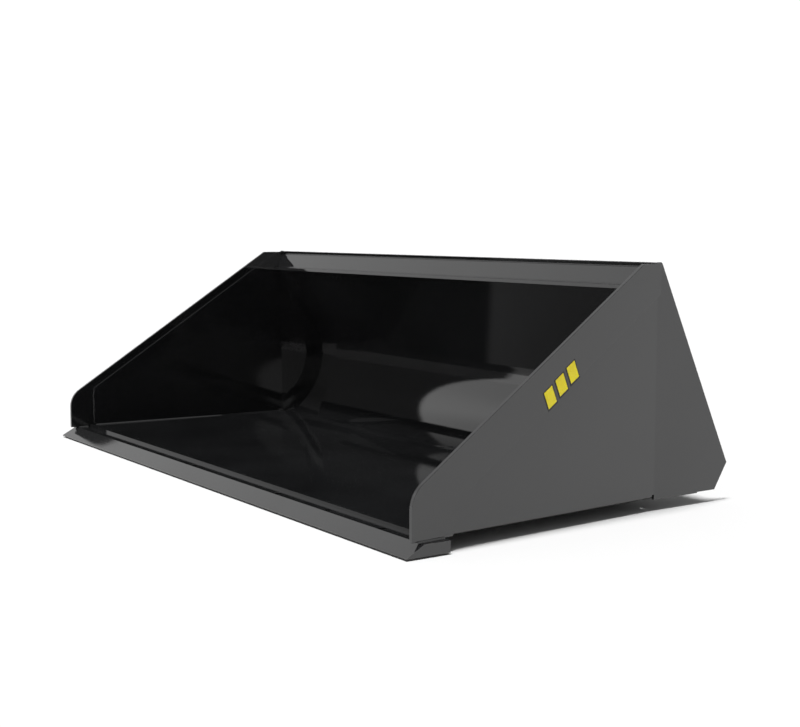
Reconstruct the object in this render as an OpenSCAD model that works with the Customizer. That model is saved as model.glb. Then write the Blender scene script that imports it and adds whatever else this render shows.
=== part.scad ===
// Skid steer bucket: a welded shell with flared sides, a bolt-drilled cutting edge,
// a rolled back, a header rail, floor runners and a quick-attach coupler.
// Millimetres, +Z up. The mouth faces -Y and the coupler faces +Y. X is the width.
// "left" is the operator's left, seen from the machine behind the bucket, and is +X.
// Outlines are drawn as (y, z), with y measured back from the cutting edge's nose.

/* [Cutting edge] */
// Length of the cutting edge across the bucket
edge_length = 1933; // [1880:1:2000]
// Depth of the cutting edge, front to back
edge_depth = 109; // [100:1:120]
// Thickness of the cutting edge
edge_t = 25.4; // [20:0.1:32]
// Depth of the ground bevel on its top front
edge_bevel = 43; // [30:1:50]
// Height of the small land left at the nose
edge_land = 2; // [1:0.5:5]
// Number of bolt holes
edge_holes = 8; // [4:2:10]
// Distance from one bolt hole to the next
edge_pitch = 228.6; // [180:0.1:230]
// Diameter of a bolt hole
edge_hole_d = 17.5; // [14:0.1:22]
// Distance of the hole line behind the nose
edge_hole_y = 54; // [52:1:60]

/* [Shell] */
// Thickness of the floor, side and back sheets
sheet_t = 6.35; // [5:0.05:8]
// Thickness of the border bars
bar_t = 9.5; // [8:0.1:12]
// Half width over the side sheets behind their bend
rear_half = 894.5; // [880:0.5:910]
// Outward flare of the sides ahead of the bend, in degrees
flare = 3.91; // [3:0.01:4.2]
// Distance of the vertical bend in the sides behind the nose
bend_y = 753.7; // [740:0.1:765]
// Front edge of the floor sheet, where it laps the cutting edge
floor_front = 80; // [76:1:84]
// Where the floor meets the rolled back
crease_y = 787; // [780:1:795]
// Inner radius of the rolled back
roll_r = 232; // [228:1:245]
// Height of the bend between the rolled and the flat back
roll_top = 266; // [255:1:275]
// Height of the back sheet
back_top = 578.7; // [570:0.1:590]
// Lean of the flat back from the vertical, in degrees
lean = 25.3; // [24:0.1:27]

/* [Sides] */
// Front edge of the border bar
bar_front = 19.5; // [15:0.5:25]
// Height at which its sloped edge would meet its front edge
bar_corner = 126.8; // [120:0.1:135]
// Angle of the sloped edge above the floor, in degrees
slope = 33.62; // [33:0.01:34.2]
// Radius of the front corner
bar_corner_r = 65; // [50:1:75]
// Width of the bar along the slope
bar_width = 91; // [80:1:100]
// Width of the bar along the front
bar_front_width = 109; // [100:1:115]
// Height of the bar's flat top
bar_top = 576.2; // [570:0.1:578]
// Height of the bar's underside
bar_bottom = 27.6; // [26:0.1:30]
// How far the side sheet stops short of the bar's sloped edge
side_setback = 24; // [18:1:40]
// Front edge of the side sheet
side_front = 95; // [90:1:100]
// Underside of the side sheet and its flange
side_bottom = 24.4; // [23:0.1:25.4]
// Width of the flange folded in under the side sheet
flange_w = 45; // [35:1:60]

/* [Corner strips] */
// Width of the strip that lines each rear corner, measured on the side sheet
strip_w = 60; // [40:1:80]
// Its reach from the side sheet along the rolled back
strip_reach = 13; // [8:0.5:20]
// Thickness left at its front edge
strip_edge = 1.5; // [1:0.1:3]

/* [Header rail] */
// Half length of the header rail
header_half = 888; // [870:1:888]
// Height of the shelf's underside
shelf_z = 515; // [505:1:525]
// Front edge of the shelf
shelf_front = 729; // [725:1:735]
// Height of the top of the header's face
header_top = 567; // [560:1:570]

/* [Runners] */
// Number of runners under the floor
runner_count = 5; // [3:2:7]
// Width of a runner
runner_w = 102; // [60:1:110]
// Distance from one runner to the next
runner_pitch = 340; // [200:5:360]
// Front and rear end of a runner, behind the nose
runner_front = 125; // [115:1:200]
runner_rear = 775; // [700:1:780]

/* [Coupler] */
// Width over the coupler plates
coupler_w = 1143; // [1100:1:1180]
// Width of one coupler plate
coupler_plate_w = 300; // [200:5:360]
// Height of the coupler plates along the back, above and below the roll's top
coupler_up = 318; // [300:1:325]
coupler_down = 112; // [90:1:120]
// Reach of the top lip, square to the coupler plates
lip_reach = 58; // [45:1:65]
// Room for weld between the top lip and the coupler plates
weld_gap = 4; // [3:0.5:6]
// Thickness of the top lip and the ledges
ledge_t = 12.7; // [9:0.1:16]
// Depth of a ledge, front to back
ledge_depth = 78; // [60:1:90]
// Distance between the two lock pin slots
slot_spacing = 1000; // [900:5:1050]
// Width and length of a lock pin slot
slot_w = 27; // [20:1:30]
slot_length = 45; // [35:1:60]

/* [Marks] */
// Height of the plain mark on each side
mark_h = 38; // [30:1:70]
// Its distance behind the nose
mark_y = 433; // [380:1:470]
// Its height above the ground
mark_z = 317; // [280:1:330]

/* [Hidden] */
$fn = 96;
paint = "#4b4d50";
steel = "#5c5f63";
yellow = "#f2b90f";
far = 2500;

floor_top = edge_t + sheet_t;
inner_half = rear_half - sheet_t;
fold_r = 4;
fold_top = side_bottom + fold_r + sheet_t;
fold_end = bend_y - 6;
fold_start = side_front + 5;
fold_leg = 10;

// Centre of the roll, which passes through the floor crease and the bend above it
back_foot_y = 910;
back_foot_z = 260;
roll_top_y = back_in(roll_top);
chord = [roll_top_y - crease_y, roll_top - floor_top];
roll_rise = sqrt(pow(roll_r, 2) - pow(norm(chord) / 2, 2)) / norm(chord);
roll_y = (crease_y + roll_top_y) / 2 - chord[1] * roll_rise;
roll_z = (floor_top + roll_top) / 2 + chord[0] * roll_rise;

back_skin = sheet_t / cos(lean);
ledge_top = roll_top - coupler_down * cos(lean);
ledge_front = back_in(ledge_top) + back_skin;
overall_depth = ledge_front + ledge_depth;
slot_y = ledge_front + 50;

// y of the flat back's inner face at a height
function back_in(z) = back_foot_y - (z - back_foot_z) * tan(lean);
// Half width over the side sheets at a distance behind the nose
function side_half(y) = rear_half + max(0, bend_y - y) * tan(flare);
// Distance along the flared sheet, measured from its bend and negative ahead of it
function along(y) = (y - bend_y) / cos(flare);
// Centre of the k-th of n things spaced evenly about the middle
function spaced(k, n, pitch) = (k - (n - 1) / 2) * pitch;

// Moves from the nose line to the row's origin, under the middle of the bucket
module in_row_frame() {
    translate([0, -overall_depth / 2, 0]) children();
}

// Extrudes a (y, z) outline across the bucket, centred on x
module across(width, x = 0) {
    translate([x, 0, 0]) rotate([90, 0, 90]) linear_extrude(width, center = true) children();
}

// Puts children drawn flat behind the back sheet, y square to it and z up along it
module on_back() {
    translate([0, back_in(roll_top) + back_skin, roll_top]) rotate([lean, 0, 0]) children();
}

// Turns children, drawn from the bend line, onto the flared left side
module on_flare() {
    translate([rear_half, bend_y, 0]) rotate([0, 0, flare]) children();
}

// Mirrors what is drawn for the left side when the right side is wanted
module for_side(left) {
    mirror([left ? 0 : 1, 0, 0]) children();
}

// Points on an arc from one angle to another
function arc(centre, r, from, to, steps) = [
    for (k = [0 : steps])
        let (a = from + (to - from) * k / steps) centre + r * [cos(a), sin(a)]
];

// The outline behind y0 and below a sloped line, with the front corner rounded
module below_slope(y0, z0, r, y_end, z_low, z_top) {
    centre = [y0 + r, z0 + r * tan(slope) - r / cos(slope)];
    reach = min(y_end, y0 + (z_top - z0) / tan(slope));
    polygon(concat(
        [[y0, z_low]],
        arc(centre, r, 180, 90 + slope, 12),
        [[reach, z0 + (reach - y0) * tan(slope)]],
        reach < y_end ? [[y_end, z_top]] : [],
        [[y_end, z_low]]
    ));
}

module cutting_edge() {
    color(steel) in_row_frame() difference() {
        across(edge_length) polygon([
            [0, 0],
            [edge_depth, 0],
            [edge_depth, edge_t],
            [edge_bevel, edge_t],
            [0, edge_land]
        ]);
        for (k = [0 : edge_holes - 1])
            translate([spaced(k, edge_holes, edge_pitch), edge_hole_y, -1])
                cylinder(h = edge_t + 2, d = edge_hole_d);
    }
}

// Seen from above: full width over the edge, between the flanges, then between the sheets
module floor_outline() {
    half = [
        [side_half(floor_front), floor_front],
        [side_half(fold_start), fold_start],
        [side_half(fold_start) - flange_w, fold_start],
        [side_half(fold_end) - flange_w, fold_end],
        [inner_half, fold_end],
        [inner_half, crease_y]
    ];
    polygon(concat(half, [for (k = [len(half) - 1 : -1 : 0]) [-half[k][0], half[k][1]]]));
}

module floor_plate() {
    lead = 6;
    color(paint) in_row_frame() intersection() {
        translate([0, 0, edge_t - 1]) linear_extrude(sheet_t + 2) floor_outline();
        across(far) polygon([
            [floor_front, edge_t],
            [floor_front + lead, floor_top],
            [crease_y, floor_top],
            [crease_y, edge_t]
        ]);
    }
}

module back_wrapper() {
    color(paint) in_row_frame() across(2 * inner_half) {
        intersection() {
            translate([roll_y, roll_z]) difference() {
                circle(roll_r + sheet_t, $fn = 360);
                circle(roll_r, $fn = 360);
            }
            translate([crease_y, 0]) square([far, roll_top]);
        }
        polygon([
            [back_in(roll_top), roll_top],
            [back_in(roll_top) + back_skin, roll_top],
            [back_in(back_top) + back_skin, back_top],
            [back_in(back_top), back_top]
        ]);
    }
}

// Side view of the bent sheet above its fold, and down to the heel behind the bend
module side_outline() {
    corner_r = 12;
    heel_z = 22.5;
    heel_step = 2.5;
    step_y = 898.2;
    heel_y = 957.5;
    heel_top = 88.4;
    top = back_top + 0.8;
    nick = 3;
    slope_z = bar_corner + (side_front - bar_front) * tan(slope) - side_setback / cos(slope);
    below_slope(side_front, slope_z, corner_r, bend_y, fold_top, bar_top);
    polygon([
        [bend_y, heel_z],
        [step_y, heel_z],
        [step_y, heel_z + heel_step],
        [heel_y, heel_z + heel_step],
        [back_in(heel_top) + back_skin, heel_top],
        [back_in(top - nick) + back_skin, top - nick],
        [back_in(top) + back_skin - nick, top],
        [bend_y + nick, top],
        [bend_y, top - nick]
    ]);
}

// Plan of the bent sheet, as (x, y)
module side_plan() {
    front = side_front - 5;
    polygon([
        [side_half(front), front],
        [rear_half, bend_y],
        [rear_half, overall_depth],
        [inner_half, overall_depth],
        [inner_half, bend_y - sheet_t * tan(flare / 2)],
        [side_half(front) - sheet_t / cos(flare), front]
    ]);
}

// Cross-section of the fold along the foot of the side sheet, as (x, z) from its outer
// face, with a short leg that runs up inside the sheet and makes one piece with it
module fold_profile() {
    outer_r = fold_r + sheet_t;
    centre = [-outer_r, fold_top];
    leg_z = fold_top + fold_leg;
    polygon(concat(
        [[0, leg_z]],
        arc(centre, outer_r, 0, -90, 8),
        [[-flange_w, side_bottom], [-flange_w, side_bottom + sheet_t]],
        arc(centre, fold_r, -90, 0, 8),
        [[-sheet_t, leg_z]]
    ));
}

module side_sheet(left) {
    color(paint) in_row_frame() for_side(left) {
        intersection() {
            linear_extrude(far) side_plan();
            across(far) side_outline();
        }
        on_flare() translate([0, along(fold_end), 0]) rotate([90, 0, 0])
            linear_extrude(along(fold_end) - along(fold_start)) fold_profile();
    }
}

module side_bar(left) {
    inner_r = 20;
    inner_z = bar_corner + bar_front_width * tan(slope) - bar_width / cos(slope);
    color(paint) in_row_frame() for_side(left) on_flare()
        across(bar_t, bar_t / 2) translate([-bend_y, 0]) difference() {
            below_slope(bar_front, bar_corner, bar_corner_r, bend_y, bar_bottom, bar_top);
            below_slope(bar_front + bar_front_width, inner_z, inner_r, bend_y + 1, 0, bar_top);
        }
}

// Side view of a corner strip: its front edge curves from the bend up to the shelf
module strip_outline() {
    front_r = roll_r - strip_w;
    rise = bend_y - roll_y;
    polygon(concat(
        [[bend_y, floor_top]],
        arc([roll_y, roll_z], front_r, -acos(rise / front_r), asin((roll_top - roll_z) / front_r), 24),
        [[bend_y, shelf_z], [overall_depth, shelf_z], [overall_depth, floor_top]]
    ));
}

// A tapered strip in each rear corner, round the roll and on up the flat back
module corner_strip(left) {
    flat_w = strip_w * cos(lean);
    slant = strip_reach - strip_edge;
    run = shelf_z - roll_top;
    color(paint) in_row_frame() for_side(left) intersection() {
        across(far) strip_outline();
        union() {
            intersection() {
                translate([inner_half, roll_y, roll_z]) rotate([0, -90, 0]) difference() {
                    cylinder(h = strip_reach, r = roll_r, $fn = 360);
                    translate([0, 0, strip_edge])
                        cylinder(h = slant, r1 = roll_r - strip_w, r2 = roll_r, $fn = 360);
                    translate([0, 0, -1])
                        cylinder(h = strip_edge + 1.5, r = roll_r - strip_w, $fn = 360);
                }
                across(far) translate([bend_y, 0]) square([far, roll_top]);
            }
            intersection() {
                on_back() translate([0, 0, -run]) linear_extrude(3 * run) polygon([
                    [inner_half, -sheet_t],
                    [inner_half, -sheet_t - flat_w],
                    [inner_half - strip_edge, -sheet_t - flat_w],
                    [inner_half - strip_reach, -sheet_t]
                ]);
                across(far) translate([bend_y, roll_top]) square([far, run]);
            }
        }
    }
}

module header_face() {
    step = 11;
    face_foot = shelf_front + step;
    face_top_y = back_in(header_top) - back_skin;
    color(paint) in_row_frame() across(2 * header_half) polygon([
        [face_foot, shelf_z + bar_t],
        [face_foot + back_skin, shelf_z + bar_t],
        [face_top_y + back_skin, header_top],
        [face_top_y, header_top]
    ]);
}

module header_shelf() {
    color(paint) in_row_frame() across(2 * header_half) polygon([
        [shelf_front, shelf_z],
        [back_in(shelf_z), shelf_z],
        [back_in(shelf_z + bar_t), shelf_z + bar_t],
        [shelf_front, shelf_z + bar_t]
    ]);
}

module runner(k) {
    ramp = 18;
    color(steel) in_row_frame() across(runner_w, spaced(k, runner_count, runner_pitch)) polygon([
        [runner_front, ramp],
        [runner_front, edge_t],
        [runner_rear, edge_t],
        [runner_rear, ramp],
        [runner_rear - ramp, 0],
        [runner_front + ramp, 0]
    ]);
}

module coupler_plate(left) {
    middle = (coupler_w - coupler_plate_w) / 2;
    color(paint) in_row_frame() for_side(left) on_back() across(coupler_plate_w, middle) polygon([
        [0, -coupler_down],
        [bar_t, -coupler_down + bar_t * tan(lean)],
        [bar_t, coupler_up - weld_gap - bar_t],
        [0, coupler_up - weld_gap]
    ]);
}

module coupler_top_lip() {
    lip_rise = ledge_t * sqrt(2);
    color(paint) in_row_frame() on_back() across(coupler_w) polygon([
        [weld_gap, coupler_up - weld_gap],
        [0, coupler_up + weld_gap],
        [0, coupler_up + lip_rise],
        [lip_reach, coupler_up + lip_rise - lip_reach],
        [lip_reach, coupler_up - lip_reach]
    ]);
}

module coupler_ledge(left) {
    middle = (coupler_w - coupler_plate_w) / 2;
    color(paint) in_row_frame() for_side(left) difference() {
        translate([middle - coupler_plate_w / 2, ledge_front, ledge_top - ledge_t])
            cube([coupler_plate_w, ledge_depth, ledge_t]);
        for (end = [-1, 1])
            translate([slot_spacing / 2 + end * (slot_length - slot_w) / 2, slot_y, 0])
                cylinder(h = far, d = slot_w);
        translate([slot_spacing / 2, slot_y, far / 2])
            cube([slot_length - slot_w, slot_w, far], center = true);
    }
}

// Gussets stand under each ledge and close the gap between the coupler and the roll
module coupler_gusset(k) {
    side = k < 3 ? 1 : -1;
    inner = coupler_w / 2 - coupler_plate_w + bar_t / 2;
    step = (coupler_plate_w - bar_t) / 2;
    head_z = roll_top - 3;
    inside_y = roll_y + 0.6 * roll_r;
    toe_y = ledge_front + ledge_depth - 12;
    toe_h = 14;
    foot = [roll_y + 0.84 * roll_r, roll_z - 0.62 * roll_r];
    color(paint) in_row_frame() across(bar_t, side * (inner + (k % 3) * step)) difference() {
        polygon([
            [inside_y, head_z],
            [back_in(head_z) + back_skin, head_z],
            [ledge_front, ledge_top],
            [ledge_front, ledge_top - ledge_t],
            [toe_y, ledge_top - ledge_t],
            [toe_y, ledge_top - ledge_t - toe_h],
            foot,
            [inside_y, foot[1]]
        ]);
        translate([roll_y, roll_z]) circle(roll_r + sheet_t, $fn = 360);
    }
}

// A plain mark of three slanted bars on the border bar
module side_mark(left) {
    bars = 3;
    bar = 28;
    pitch = 42;
    shift = 7;
    film = 1;
    color(yellow) in_row_frame() for_side(left) on_flare()
        translate([bar_t, along(mark_y), mark_z]) across(film, film / 2) rotate(slope)
            for (k = [0 : bars - 1])
                translate([spaced(k, bars, pitch) - bar / 2, spaced(k, bars, shift) / bars - mark_h / 2])
                    polygon([[0, 0], [bar, 0], [bar + shift, mark_h], [shift, mark_h]]);
}

cutting_edge();
floor_plate();
back_wrapper();
side_sheet(true);  // side_sheet_left
side_sheet(false);  // side_sheet_right
side_bar(true);  // side_bar_left
side_bar(false);  // side_bar_right
corner_strip(true);  // corner_strip_left
corner_strip(false);  // corner_strip_right
header_face();
header_shelf();
runner(0);  // runner_1
runner(1);  // runner_2
runner(2);  // runner_3
runner(3);  // runner_4
runner(4);  // runner_5
coupler_plate(true);  // coupler_plate_left
coupler_plate(false);  // coupler_plate_right
coupler_top_lip();
coupler_ledge(true);  // coupler_ledge_left
coupler_ledge(false);  // coupler_ledge_right
coupler_gusset(0);  // coupler_gusset_1
coupler_gusset(1);  // coupler_gusset_2
coupler_gusset(2);  // coupler_gusset_3
coupler_gusset(3);  // coupler_gusset_4
coupler_gusset(4);  // coupler_gusset_5
coupler_gusset(5);  // coupler_gusset_6
side_mark(true);  // side_mark_left
side_mark(false);  // side_mark_right
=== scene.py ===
import math

import bmesh
import bpy
from mathutils import Matrix, Vector


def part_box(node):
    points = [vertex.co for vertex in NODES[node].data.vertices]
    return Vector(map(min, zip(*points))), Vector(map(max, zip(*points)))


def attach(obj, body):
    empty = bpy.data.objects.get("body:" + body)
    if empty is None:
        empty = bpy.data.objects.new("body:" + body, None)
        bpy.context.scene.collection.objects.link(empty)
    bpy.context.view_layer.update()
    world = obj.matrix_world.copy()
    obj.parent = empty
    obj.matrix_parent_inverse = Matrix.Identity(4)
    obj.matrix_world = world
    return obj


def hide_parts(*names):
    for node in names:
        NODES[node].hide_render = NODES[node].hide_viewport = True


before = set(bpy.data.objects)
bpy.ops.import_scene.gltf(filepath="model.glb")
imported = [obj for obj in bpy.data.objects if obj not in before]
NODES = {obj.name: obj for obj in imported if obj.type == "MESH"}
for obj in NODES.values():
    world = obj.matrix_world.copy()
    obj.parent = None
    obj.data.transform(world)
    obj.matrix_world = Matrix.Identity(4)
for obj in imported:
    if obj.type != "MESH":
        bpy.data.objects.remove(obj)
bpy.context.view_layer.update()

# ---------------------------------------------------------------- dimensions
# Millimetres, with y measured back from the cutting edge's nose, as in the part's source.
EDGE_T = 25.4  # thickness of the cutting edge
SHEET_T = 6.35  # thickness of the sheets
BAR_T = 9.5  # thickness of the border bars, the header and the coupler plates
FLOOR_TOP = EDGE_T + SHEET_T
FLOOR_FRONT = 80.0  # front edge of the floor sheet
EDGE_REAR = 109.0  # rear edge of the cutting edge
FLARE = math.radians(3.91)  # opening of each side sheet ahead of its bend
SLOPE = math.radians(33.62)  # rise of the side sheets' top edge
REAR_HALF = 894.5  # half width over the side sheets, behind their bend
INNER_HALF = REAR_HALF - SHEET_T
BEND_Y = 753.7  # vertical bend of the side sheets
LEAN = math.radians(25.3)  # lean of the flat back from upright
BACK_SKIN = SHEET_T / math.cos(LEAN)
BACK_FOOT = (910.0, 260.0)  # (y, z) of a point on the flat back's inner face
BACK_TOP = 578.7
ROLL_TOP = 266.0  # height of the bend between the roll and the flat back
ROLL_R = 232.0  # inner radius of the roll
CREASE_Y = 787.0  # where the roll meets the floor
HEADER_FOOT_Y = 740.0  # foot of the header's face, on the shelf
SHELF_Z = 515.0  # underside of the header's shelf
HEADER_TOP = 567.0
COUPLER_W = 1143.0  # width over the coupler plates
PLATE_W = 300.0  # width of one coupler plate
COUPLER_UP = 318.0  # coupler plates and lip above the roll's top, along the back
COUPLER_DOWN = 112.0  # coupler plates below it
WELD_GAP = 4.0  # between the coupler plates and the top lip
LEDGE_T = 12.7  # thickness of the coupler's lip and ledges
LEDGE_DEPTH = 78.0
MARK_AT = (433.0, 317.0)  # (y, z) of the middle of a side mark

# ---------------------------------------------------------------- frame helpers
NOSE_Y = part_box("cutting_edge")[0].y
X, Y, Z = Vector((1, 0, 0)), Vector((0, 1, 0)), Vector((0, 0, 1))
# Square to the left side sheet ahead of its bend, and back along it
FLARE_OUT = Vector((math.cos(FLARE), math.sin(FLARE), 0))
FLARE_BACK = Vector((-math.sin(FLARE), math.cos(FLARE), 0))
# Square to the flat back's outer face, and up along it
OFF_BACK = Vector((0, math.cos(LEAN), math.sin(LEAN)))
UP_BACK = Vector((0, -math.sin(LEAN), math.cos(LEAN)))


def at(x, y, z):
    """A point given in millimetres behind the nose, in the shared frame in metres."""
    return Vector((x / 1000, NOSE_Y + y / 1000, z / 1000))


def back_in(z):
    """y of the flat back's inner face at height z."""
    foot_y, foot_z = BACK_FOOT
    return foot_y - (z - foot_z) * math.tan(LEAN)


def side_half(y):
    """Half width over the side sheets at y."""
    return REAR_HALF + max(0.0, BEND_Y - y) * math.tan(FLARE)


def side_at(y, z, out=0.0):
    """A point on the left side sheet's outer face, or out millimetres beyond it."""
    return at(side_half(y) + out / math.cos(FLARE), y, z)


def on_back(x, n, up):
    """A point n square to the back sheet's outer face and up along it from the roll's top."""
    return at(x, back_in(ROLL_TOP) + BACK_SKIN, ROLL_TOP) + (OFF_BACK * n + UP_BACK * up) / 1000


def roll_centre():
    """(y, z) of the roll's axis, from the crease and the bend that it passes through."""
    y0, z0, y1, z1 = CREASE_Y, FLOOR_TOP, back_in(ROLL_TOP), ROLL_TOP
    span = math.hypot(y1 - y0, z1 - z0)
    rise = math.sqrt(ROLL_R ** 2 - (span / 2) ** 2) / span
    return (y0 + y1) / 2 - (z1 - z0) * rise, (z0 + z1) / 2 + (y1 - y0) * rise


ROLL_Y, ROLL_Z = roll_centre()


# ---------------------------------------------------------------- materials
def new_material(name):
    mat = bpy.data.materials.new(name)
    mat.use_nodes = True
    nodes = mat.node_tree.nodes
    return mat, nodes, mat.node_tree.links, nodes["Principled BSDF"]


def noise(nodes, links, coords, scale, detail=3.0, rough=0.55):
    n = nodes.new("ShaderNodeTexNoise")
    n.inputs["Scale"].default_value = scale
    n.inputs["Detail"].default_value = detail
    n.inputs["Roughness"].default_value = rough
    links.new(coords, n.inputs["Vector"])
    return n.outputs["Fac"]


def ramp(nodes, links, value, lo, hi, out_lo=0.0, out_hi=1.0):
    n = nodes.new("ShaderNodeMapRange")
    n.interpolation_type = "SMOOTHSTEP"
    n.inputs["From Min"].default_value = lo
    n.inputs["From Max"].default_value = hi
    n.inputs["To Min"].default_value = out_lo
    n.inputs["To Max"].default_value = out_hi
    links.new(value, n.inputs["Value"])
    return n.outputs["Result"]


def math_node(nodes, links, op, a, b):
    n = nodes.new("ShaderNodeMath")
    n.operation = op
    n.use_clamp = True
    for socket, v in zip(n.inputs, (a, b)):
        if isinstance(v, (int, float)):
            socket.default_value = v
        else:
            links.new(v, socket)
    return n.outputs["Value"]


def mix_colour(nodes, links, fac, a, b):
    n = nodes.new("ShaderNodeMix")
    n.data_type = "RGBA"
    links.new(fac, n.inputs["Factor"])
    for key, v in (("A", a), ("B", b)):
        socket = [s for s in n.inputs if s.name == key and s.type == "RGBA"][0]
        if isinstance(v, tuple):
            socket.default_value = (*v, 1.0)
        else:
            links.new(v, socket)
    return [s for s in n.outputs if s.type == "RGBA"][0]


def edge_mask(nodes, links, radius, lo, hi):
    """1 on worn corners: where a rounded normal departs from the surface's own."""
    bevel = nodes.new("ShaderNodeBevel")
    bevel.samples = 4
    bevel.inputs["Radius"].default_value = radius
    geometry = nodes.new("ShaderNodeNewGeometry")
    dot = nodes.new("ShaderNodeVectorMath")
    dot.operation = "DOT_PRODUCT"
    links.new(bevel.outputs["Normal"], dot.inputs[0])
    links.new(geometry.outputs["Normal"], dot.inputs[1])
    return ramp(nodes, links, dot.outputs["Value"], hi, lo)


def paint(name, base, worn, rough, ior, peel=0.35, wear=0.5, grain=420.0):
    """Sprayed gloss paint: faint tone drift, orange peel, thin dust and rubbed edges."""
    mat, nodes, links, bsdf = new_material(name)
    coords = nodes.new("ShaderNodeTexCoord").outputs["Object"]
    drift = noise(nodes, links, coords, 2.3, 4.0)
    fine = noise(nodes, links, coords, 38.0, 5.0)
    specks = noise(nodes, links, coords, 160.0, 6.0, 0.7)

    darker = tuple(c * 0.75 for c in base)
    lighter = tuple(c * 1.3 for c in base)
    tone = mix_colour(nodes, links, ramp(nodes, links, drift, 0.3, 0.7), darker, lighter)
    dust = math_node(nodes, links, "MULTIPLY", ramp(nodes, links, specks, 0.62, 0.8), 0.10)
    dusty = mix_colour(nodes, links, dust, tone, worn)
    corner = edge_mask(nodes, links, 0.0022, 0.955, 0.995)
    patchy = ramp(nodes, links, fine, 0.42, 0.62)
    rubbed = math_node(nodes, links, "MULTIPLY", corner, patchy)
    rubbed = math_node(nodes, links, "MULTIPLY", rubbed, wear)
    links.new(mix_colour(nodes, links, rubbed, dusty, worn), bsdf.inputs["Base Color"])

    sheen = ramp(nodes, links, fine, 0.25, 0.75, rough * 0.75, rough * 1.3)
    links.new(math_node(nodes, links, "ADD", sheen, math_node(
        nodes, links, "MULTIPLY", rubbed, 0.35)), bsdf.inputs["Roughness"])

    bump = nodes.new("ShaderNodeBump")
    bump.inputs["Strength"].default_value = peel
    bump.inputs["Distance"].default_value = 0.00012
    links.new(noise(nodes, links, coords, grain, 2.0), bump.inputs["Height"])
    links.new(bump.outputs["Normal"], bsdf.inputs["Normal"])
    bsdf.inputs["IOR"].default_value = ior
    return mat


SHELL = paint("shell_black", (0.0074, 0.0076, 0.0080), (0.050, 0.050, 0.052), 0.038, 1.72, peel=0.22)
EDGE = paint("edge_black", (0.0080, 0.0082, 0.0086), (0.085, 0.083, 0.080), 0.10, 1.72, wear=0.7)
RUNNER = paint("runner_black", (0.0085, 0.0086, 0.0088), (0.10, 0.095, 0.09), 0.16, 1.65, wear=0.8)
COUPLER = paint("coupler_black", (0.0075, 0.0077, 0.0080), (0.055, 0.054, 0.054), 0.10, 1.70)


def film(name, colour, shade, rough):
    """Gloss self-adhesive film with a faint print grain."""
    mat, nodes, links, bsdf = new_material(name)
    coords = nodes.new("ShaderNodeTexCoord").outputs["Object"]
    print_grain = noise(nodes, links, coords, 900.0, 2.0)
    drift = noise(nodes, links, coords, 25.0, 3.0)
    links.new(mix_colour(nodes, links, ramp(nodes, links, drift, 0.3, 0.7), colour, shade),
              bsdf.inputs["Base Color"])
    links.new(ramp(nodes, links, print_grain, 0.3, 0.7, rough * 0.8, rough * 1.2),
              bsdf.inputs["Roughness"])
    bump = nodes.new("ShaderNodeBump")
    bump.inputs["Strength"].default_value = 0.12
    bump.inputs["Distance"].default_value = 0.0001
    links.new(print_grain, bump.inputs["Height"])
    links.new(bump.outputs["Normal"], bsdf.inputs["Normal"])
    bsdf.inputs["IOR"].default_value = 1.5
    return mat


MARK_YELLOW = film("mark_yellow", (1.0, 0.86, 0.0), (0.95, 0.78, 0.0), 0.25)
MARK_BLACK = film("mark_black", (0.004, 0.004, 0.004), (0.006, 0.006, 0.006), 0.3)


# ---------------------------------------------------------------- pieces
def mesh_of(bm, name):
    """Writes a bmesh to a new mesh and frees it."""
    mesh = bpy.data.meshes.new(name)
    bm.to_mesh(mesh)
    bm.free()
    return mesh


def add_piece(name, mesh, mat):
    """Puts a mesh in the scene as a piece that rides on the bucket."""
    mesh.materials.append(mat)
    piece = bpy.data.objects.new(name, mesh)
    bpy.context.scene.collection.objects.link(piece)
    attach(piece, "root")
    return piece


# ---------------------------------------------------------------- CAD nodes with broken edges
SHARP_ANGLE = math.radians(25)
LARGE_FACE = 0.012  # square metres
LARGE_FACE_ANGLE = math.radians(1)


def finished(node, mat, slot, width):
    """A copy of a CAD node with clean faces and rounded edges of a width, shown in its place.
    Without a width its edges stay as they are, and only its flat faces are kept flat."""
    bm = bmesh.new()
    bm.from_mesh(NODES[node].data)
    bmesh.ops.remove_doubles(bm, verts=bm.verts, dist=2e-6)
    bmesh.ops.dissolve_limit(bm, angle_limit=math.radians(0.25), verts=bm.verts, edges=bm.edges)
    bm.normal_update()
    for face in bm.faces:
        face.smooth = True
    for edge in bm.edges:
        if len(edge.link_faces) == 2:
            large = min(face.calc_area() for face in edge.link_faces) > LARGE_FACE
            edge.smooth = edge.calc_face_angle(0.0) < (LARGE_FACE_ANGLE if large else SHARP_ANGLE)
    mesh = mesh_of(bm, f"{node}_finished")
    piece = add_piece(f"{node}_finished", mesh, mat)
    if width == 0:
        flat = piece.modifiers.new("flat faces", "WEIGHTED_NORMAL")
        flat.weight = 100
        flat.keep_sharp = True
    else:
        bevel = piece.modifiers.new("broken edges", "BEVEL")
        bevel.width = width
        bevel.segments = 2
        bevel.limit_method = "ANGLE"
        bevel.angle_limit = SHARP_ANGLE
        bevel.harden_normals = True
        bevel.use_clamp_overlap = True
    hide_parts(node)


# Material, slot and edge width in metres, by the start of a node's name
FINISHES = {
    "cutting_edge": (EDGE, "edge_paint", 0.0006),
    "floor_plate": (SHELL, "shell_paint", 0.0007),
    "side_sheet": (SHELL, "shell_paint", 0.0008),
    "side_bar": (SHELL, "shell_paint", 0.0010),
    "corner_strip": (SHELL, "shell_paint", 0.0),
    "header": (SHELL, "shell_paint", 0.0009),
    "runner": (RUNNER, "runner_paint", 0.0020),
    "coupler": (COUPLER, "coupler_paint", 0.0012),
}
for name in sorted(NODES):
    for prefix, finish in FINISHES.items():
        if name.startswith(prefix):
            finished(name, *finish)


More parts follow.
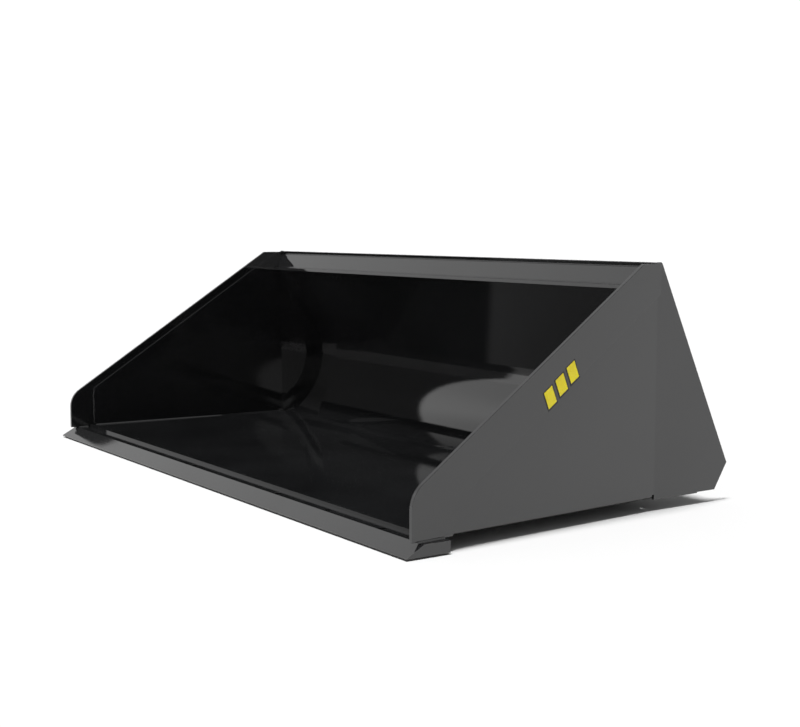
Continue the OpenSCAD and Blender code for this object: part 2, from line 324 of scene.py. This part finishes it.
# ---------------------------------------------------------------- back sheet
def roll_arc(radius, steps, y_low, z_high):
    """Points (y, z) up the roll at a radius, from y_low to z_high."""
    start = -math.acos((y_low - ROLL_Y) / radius)
    end = math.asin((z_high - ROLL_Z) / radius)
    turns = [start + (end - start) * k / steps for k in range(steps + 1)]
    return [(ROLL_Y + radius * math.cos(a), ROLL_Z + radius * math.sin(a)) for a in turns]


def soften(points, index, radius, steps=4):
    """Rounds one corner of a (y, z) outline and returns the new points for it."""
    before, corner, after = (Vector(points[(index + d) % len(points)]) for d in (-1, 0, 1))
    a, b = (before - corner).normalized(), (after - corner).normalized()
    half = a.angle(b) / 2
    centre = corner + (a + b).normalized() * radius / math.sin(half)
    first, last = (corner + d * radius / math.tan(half) - centre for d in (a, b))
    swing = first.angle_signed(last)
    return [centre + Matrix.Rotation(-swing * k / steps, 2) @ first for k in range(steps + 1)]


def loft(name, outline, half, sharp_deg):
    """Sweeps a closed (y, z) outline across the bucket as one solid, smooth below sharp_deg."""
    bm = bmesh.new()
    rings = [[bm.verts.new(at(x, y, z)) for y, z in outline] for x in (-half, half)]
    n = len(outline)
    for k in range(n):
        bm.faces.new((rings[0][k], rings[0][(k + 1) % n], rings[1][(k + 1) % n], rings[1][k]))
    bm.faces.new(rings[0])
    bm.faces.new(rings[1])
    bmesh.ops.recalc_face_normals(bm, faces=bm.faces)
    for face in bm.faces:
        face.smooth = True
    for edge in bm.edges:
        edge.smooth = edge.calc_face_angle(0.0) < math.radians(sharp_deg)
    return add_piece(name, mesh_of(bm, name), SHELL)


def back_outline():
    steps, rim_r = 90, 1.2
    inner = roll_arc(ROLL_R, steps, CREASE_Y, ROLL_TOP)
    outer = roll_arc(ROLL_R + SHEET_T, steps, CREASE_Y, ROLL_TOP)
    top = [(back_in(BACK_TOP), BACK_TOP), (back_in(BACK_TOP) + BACK_SKIN, BACK_TOP)]
    points = inner + top + outer[::-1]
    first = len(inner)
    rounded = [soften(points, k, rim_r) for k in (first, first + 1)]
    return inner + rounded[0] + rounded[1] + outer[::-1]


# Its roll is a finer curve than the CAD node's facets, which would show in its highlight
back = loft("back_wrapper_finished", back_outline(), INNER_HALF, 5.0)
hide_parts("back_wrapper")

# ---------------------------------------------------------------- side marks
for name in ("side_mark_left", "side_mark_right"):
    NODES[name].data.materials.clear()
    NODES[name].data.materials.append(MARK_YELLOW)


def mark_edges(name, side):
    """The black edge behind the three slanted bars of a side's mark."""
    bar, pitch, shift, height = 28.0, 42.0, 7.0, 38.0
    edge, drop = 3.0, 1.5
    sunk, proud = -0.2, 0.55
    u = FLARE_BACK * math.cos(SLOPE) + Z * math.sin(SLOPE)
    v = Z * math.cos(SLOPE) - FLARE_BACK * math.sin(SLOPE)
    mark_y, mark_z = MARK_AT
    centre = side_at(mark_y, mark_z) + FLARE_OUT * BAR_T / 1000
    skew, slack = shift / height, edge * math.hypot(1, shift / height)
    bm = bmesh.new()
    for k in (-1, 0, 1):
        corners = []
        for b, rear in ((-edge, False), (-edge, True), (height + edge, True), (height + edge, False)):
            a = k * pitch - bar / 2 + skew * b + (bar + slack if rear else -slack)
            corners.append((a, b + k * shift / 3 - height / 2 - drop))
        low, high = ([bm.verts.new(centre + (u * a + v * b + FLARE_OUT * n) / 1000)
                      for a, b in corners] for n in (sunk, proud))
        bm.faces.new(low)
        bm.faces.new(high)
        for j in range(4):
            bm.faces.new((low[j], low[(j + 1) % 4], high[(j + 1) % 4], high[j]))
    for vert in bm.verts:
        vert.co.x *= side
    bmesh.ops.recalc_face_normals(bm, faces=bm.faces)
    add_piece(name, mesh_of(bm, name), MARK_BLACK)


mark_edges("mark_edge_left", 1)
mark_edges("mark_edge_right", -1)

# ---------------------------------------------------------------- weld beads
BEAD_SIDES = 6  # points across the face of a bead
BEAD_PITCH = 0.0062  # from one ripple to the next, in metres
BEAD_STEP = 0.00155
BEAD_ROOT = 0.0004  # how far a bead's root is sunk into the corner


def bead_stations(points, us, vs):
    """Walks a path and yields (point, u, v, distance walked, whether it is an end)."""
    travelled = 0.0
    for k in range(len(points) - 1):
        length = (points[k + 1] - points[k]).length
        count = max(1, round(length / BEAD_STEP))
        last = k == len(points) - 2
        for j in range(count + (1 if last else 0)):
            f = j / count
            at_end = (k == 0 and j == 0) or (last and j == count)
            yield (points[k].lerp(points[k + 1], f), us[k].lerp(us[k + 1], f).normalized(),
                   vs[k].lerp(vs[k + 1], f).normalized(), travelled + length * f, at_end)
        travelled += length


def bead_ring(point, u, v, walked, at_end, leg):
    """Vertices round a bead at one station: across its rippled face, then its root."""
    ring = []
    out = (u + v).normalized()
    taper = 0.72 if at_end else 1.0
    for i in range(BEAD_SIDES):
        t = i / (BEAD_SIDES - 1)
        swell = math.sin(math.pi * t)
        wave = math.cos(2 * math.pi * (walked / BEAD_PITCH - 0.32 * swell))
        size = leg * taper * (1 + 0.035 * wave)
        crown = out * swell * leg * (0.16 + 0.055 * wave)
        ring.append(point + (u * (1 - t) + v * t) * size + crown)
    ring.append(point - out * BEAD_ROOT)
    return ring


def weld_runs(name, runs, mat):
    """Rippled fillet beads in one piece. A run is (points, u, v, leg): a path in the corner of
    two plates, the direction away from it along each of them, and the leg in millimetres. A
    direction is one vector, or a list with one for each point."""
    verts, faces = [], []
    ring = BEAD_SIDES + 1
    for points, u, v, leg in runs:
        us = u if isinstance(u, list) else [u] * len(points)
        vs = v if isinstance(v, list) else [v] * len(points)
        first_ring = len(verts)
        for station in bead_stations(points, us, vs):
            verts += bead_ring(*station, leg / 1000)
        rings = (len(verts) - first_ring) // ring
        for r in range(rings - 1):
            for i in range(ring):
                a0 = first_ring + r * ring + i
                a1 = first_ring + r * ring + (i + 1) % ring
                faces.append((a0, a1, a1 + ring, a0 + ring))
        faces.append(tuple(first_ring + i for i in range(ring)))
        faces.append(tuple(len(verts) - 1 - i for i in range(ring)))
    mesh = bpy.data.meshes.new(name)
    mesh.from_pydata(verts, [], faces)
    bm = bmesh.new()
    bm.from_mesh(mesh)
    bmesh.ops.recalc_face_normals(bm, faces=bm.faces)
    for face in bm.faces:
        face.smooth = len(face.verts) == 4
    bm.to_mesh(mesh)
    bm.free()
    add_piece(name, mesh, mat)


def both(points, u, v, leg):
    """A run on the left side and its mirror image on the right."""
    def flipped(vectors):
        return [Matrix.Diagonal((-1, 1, 1)) @ w for w in vectors]

    def turned(direction):
        return flipped(direction) if isinstance(direction, list) else flipped([direction])[0]

    return [(points, u, v, leg), (flipped(points), turned(u), turned(v), leg)]


# The floor sheet's front edge: a bead ground flush, which makes its chamfer an upright step
front_half = side_half(FLOOR_FRONT) - SHEET_T - 5
front_outline = [(FLOOR_FRONT - 0.2, EDGE_T), (FLOOR_FRONT - 0.2, FLOOR_TOP + 0.04),
                 (FLOOR_FRONT + 8, FLOOR_TOP + 0.04), (FLOOR_FRONT + 8, FLOOR_TOP - 1),
                 (FLOOR_FRONT + 1.5, EDGE_T)]
loft("weld_floor_front", front_outline, front_half, 30.0)

under_half = 925
under_ends = [at(x, EDGE_REAR, EDGE_T) for x in (-under_half, under_half)]
weld_runs("weld_edge_underside", [(under_ends, Y, -Z, 7)], SHELL)


def bar_corner_path():
    """The border bar's inner outline on the side sheet: [(y, z)], and the way off it inwards."""
    front, width = 19.5 + 109, 91.0
    corner_r, steps = 20.0, 8
    corner_z = 126.8 + 109 * math.tan(SLOPE) - width / math.cos(SLOPE)
    centre_y = front + corner_r
    centre_z = corner_z + corner_r * math.tan(SLOPE) - corner_r / math.cos(SLOPE)
    path, away = [(front, 30.0)], [FLARE_BACK]
    for k in range(steps + 1):
        turn = math.pi - (math.pi / 2 - SLOPE) * k / steps
        path.append((centre_y + corner_r * math.cos(turn), centre_z + corner_r * math.sin(turn)))
        away.append(-(FLARE_BACK * math.cos(turn) + Z * math.sin(turn)))
    end_y = BEND_Y - 2
    path.append((end_y, corner_z + (end_y - front) * math.tan(SLOPE)))
    away.append(away[-1])
    return path, away


# Border bars: on the cutting edge outside and inside, and round their inner outline
bar_path, bar_away = bar_corner_path()
bar_runs = both([side_at(y, EDGE_T, BAR_T) for y in (34, 107)], X, Z, 5)
bar_runs += both([side_at(y, EDGE_T) for y in (46, 77)], -X, Z, 4)
bar_runs += both([side_at(y, z) for y, z in bar_path], bar_away, [FLARE_OUT] * len(bar_path), 3.2)
weld_runs("weld_side_bars", bar_runs, SHELL)

# Header rail: shelf and face to the back sheet, and face to shelf, inside the bowl
HEADER_END = 872
shelf_top = SHELF_Z + BAR_T
face_up = Vector((0, back_in(HEADER_TOP) - BACK_SKIN - HEADER_FOOT_Y, HEADER_TOP - shelf_top))
header_runs = []
for y, z, up, leg in (
        (back_in(SHELF_Z), SHELF_Z, -UP_BACK, 5),
        (HEADER_FOOT_Y, shelf_top, face_up.normalized(), 3),
        (back_in(HEADER_TOP), HEADER_TOP, UP_BACK, 3.5)):
    header_runs.append(([at(x, y, z) for x in (-HEADER_END, HEADER_END)], -Y, up, leg))
weld_runs("weld_header", header_runs, SHELL)

# The ends of the side folds, closed against the floor
fold_ends = [at(INNER_HALF, y, FLOOR_TOP) for y in (741, 760)]
weld_runs("weld_fold_ends", both(fold_ends, -X, Z, 5), SHELL)

# Runners under the floor, along both of their sides
runner_runs = []
for name in sorted(n for n in NODES if n.startswith("runner")):
    lo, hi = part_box(name)
    for x, side in ((lo.x, -X), (hi.x, X)):
        ends = [Vector((x, y, EDGE_T / 1000)) for y in (lo.y + 0.008, hi.y - 0.008)]
        runner_runs.append((ends, side, -Z, 6))
weld_runs("weld_runners", runner_runs, RUNNER)


def gusset_runs(x, side):
    """Beads along one face of a gusset on the left: to its ledge, and to the roll."""
    ledge_under = LEDGE_TOP - LEDGE_T
    runs = []
    if min(abs(x - INSIDE), abs(x - OUTSIDE)) > 1:
        ends = [at(x, y, ledge_under) for y in (LEDGE_FRONT + 4, LEDGE_FRONT + LEDGE_DEPTH - 16)]
        runs += both(ends, side, -Z, 6)
    steps, low, sweep = 16, -35, 40
    turns = [math.radians(low + sweep * j / steps) for j in range(steps + 1)]
    outer_r = ROLL_R + SHEET_T
    path = [at(x, ROLL_Y + outer_r * math.cos(a), ROLL_Z + outer_r * math.sin(a)) for a in turns]
    outward = [Vector((0, math.cos(a), math.sin(a))) for a in turns]
    return runs + both(path, [side] * len(turns), outward, 5)


# Coupler: plates, top lip, ledges and gussets
INSIDE, OUTSIDE = COUPLER_W / 2 - PLATE_W, COUPLER_W / 2
LEDGE_TOP = ROLL_TOP - COUPLER_DOWN * math.cos(LEAN)
LEDGE_FRONT = back_in(LEDGE_TOP) + BACK_SKIN
END_GAP = 3  # between a bead's end and the end of its plate
plate_face_y = LEDGE_FRONT + BAR_T / math.cos(LEAN)
plate_top = COUPLER_UP - WELD_GAP - BAR_T
plate_span = (INSIDE + END_GAP, OUTSIDE - END_GAP)
lip_down = (OFF_BACK - UP_BACK).normalized()
coupler_runs = []
for x, side in ((INSIDE, -X), (OUTSIDE, X)):
    coupler_runs += both([on_back(x, 0, up) for up in (6, plate_top)], side, OFF_BACK, 6)
coupler_runs += both([on_back(x, BAR_T, plate_top) for x in plate_span], -UP_BACK, lip_down, 9)
coupler_runs += both([at(x, plate_face_y, LEDGE_TOP) for x in plate_span], Y, UP_BACK, 8)
lip_root = COUPLER_UP + LEDGE_T * math.sqrt(2)
lip_half = OUTSIDE - END_GAP
coupler_runs.append(([on_back(x, 0, lip_root) for x in (-lip_half, lip_half)], lip_down, UP_BACK, 5))
for k in range(3):
    middle = INSIDE + BAR_T / 2 + k * (PLATE_W - BAR_T) / 2
    for half, side in ((-BAR_T / 2, -X), (BAR_T / 2, X)):
        coupler_runs += gusset_runs(middle + half, side)
weld_runs("weld_coupler", coupler_runs, COUPLER)

# ---------------------------------------------------------------- camera
camera_data = bpy.data.cameras.new("camera")
camera_data.sensor_width = 36.0
camera_data.lens = 60.336
camera_data.clip_start = 0.05
camera_data.clip_end = 300.0
camera = bpy.data.objects.new("camera", camera_data)
bpy.context.scene.collection.objects.link(camera)
CAMERA_AZ = math.radians(55.83)
CAMERA_EL = math.radians(5.83)
look = Vector((-math.sin(CAMERA_AZ) * math.cos(CAMERA_EL),
               math.cos(CAMERA_AZ) * math.cos(CAMERA_EL),
               -math.sin(CAMERA_EL)))
camera.location = (3.1262, -2.0020, 0.6613)
camera.rotation_mode = "QUATERNION"
camera.rotation_quaternion = look.to_track_quat("-Z", "Y")
bpy.context.scene.camera = camera

# ---------------------------------------------------------------- floor
FLOOR_REACH = 80.0
FLOOR_Z = -0.004  # a little below the bucket, for a thin dark line under its edge
floor_mesh = bpy.data.meshes.new("studio_floor")
corners = [(x * FLOOR_REACH, y * FLOOR_REACH, FLOOR_Z) for x, y in ((-1, -1), (1, -1), (1, 1), (-1, 1))]
floor_mesh.from_pydata(corners, [], [(0, 1, 2, 3)])
floor = bpy.data.objects.new("studio_floor", floor_mesh)
bpy.context.scene.collection.objects.link(floor)
floor_mat, _, _, floor_bsdf = new_material("studio_white")
floor_bsdf.inputs["Base Color"].default_value = (0.86, 0.86, 0.86, 1.0)
floor_bsdf.inputs["Roughness"].default_value = 0.9
floor_bsdf.inputs["Specular IOR Level"].default_value = 0.0
floor_mesh.materials.append(floor_mat)

# ---------------------------------------------------------------- light
world = bpy.data.worlds.new("studio")
bpy.context.scene.world = world
world.use_nodes = True
wn, wl = world.node_tree.nodes, world.node_tree.links
wn.clear()


def product(a, b):
    """Two strengths multiplied, which may pass 1."""
    n = wn.new("ShaderNodeMath")
    n.operation = "MULTIPLY"
    wl.new(a, n.inputs[0])
    wl.new(b, n.inputs[1])
    return n.outputs["Value"]


def background(strength):
    n = wn.new("ShaderNodeBackground")
    n.inputs["Color"].default_value = (1.0, 1.0, 1.0, 1.0)
    if isinstance(strength, float):
        n.inputs["Strength"].default_value = strength
    else:
        wl.new(strength, n.inputs["Strength"])
    return n.outputs[0]


path_kind = wn.new("ShaderNodeLightPath")
direction = wn.new("ShaderNodeSeparateXYZ")
wl.new(wn.new("ShaderNodeTexCoord").outputs["Generated"], direction.inputs[0])
toward = direction.outputs

# The dome is brightest low in front, even behind, dimmer to the right and on matt surfaces
low_band = ramp(wn, wl, toward["Z"], 0.44, 0.62, 1.06, 0.68)
ahead = ramp(wn, wl, toward["Y"], -0.62, -0.48, 0.88, 1.0)
front_or_rear = wn.new("ShaderNodeMix")
wl.new(ramp(wn, wl, toward["Y"], -0.20, 0.10), front_or_rear.inputs["Factor"])
wl.new(product(low_band, ahead), front_or_rear.inputs["A"])
front_or_rear.inputs["B"].default_value = 0.76
sided = ramp(wn, wl, toward["X"], -0.1, 0.6, 1.0, 0.62)
matt = ramp(wn, wl, path_kind.outputs["Is Diffuse Ray"], 0.0, 1.0, 1.0, 0.28)
dome = background(product(product(front_or_rear.outputs["Result"], sided), matt))

# The camera sees a plain backdrop in the dome's place
blend = wn.new("ShaderNodeMixShader")
wl.new(path_kind.outputs["Is Camera Ray"], blend.inputs["Fac"])
wl.new(dome, blend.inputs[1])
wl.new(background(1.15), blend.inputs[2])
wl.new(blend.outputs[0], wn.new("ShaderNodeOutputWorld").inputs["Surface"])

# A soft sun lights the floor and shows in no reflection
sun_data = bpy.data.lights.new("soft_sun", "SUN")
sun_data.energy = 3.2
sun_data.angle = math.radians(14.0)
sun = bpy.data.objects.new("soft_sun", sun_data)
bpy.context.scene.collection.objects.link(sun)
sun.rotation_mode = "QUATERNION"
sun.rotation_quaternion = Vector((-0.04, 0.16, -1.0)).to_track_quat("-Z", "Y")
sun.visible_glossy = False

bpy.context.scene.view_settings.view_transform = "Standard"
bpy.context.scene.view_settings.look = "None"
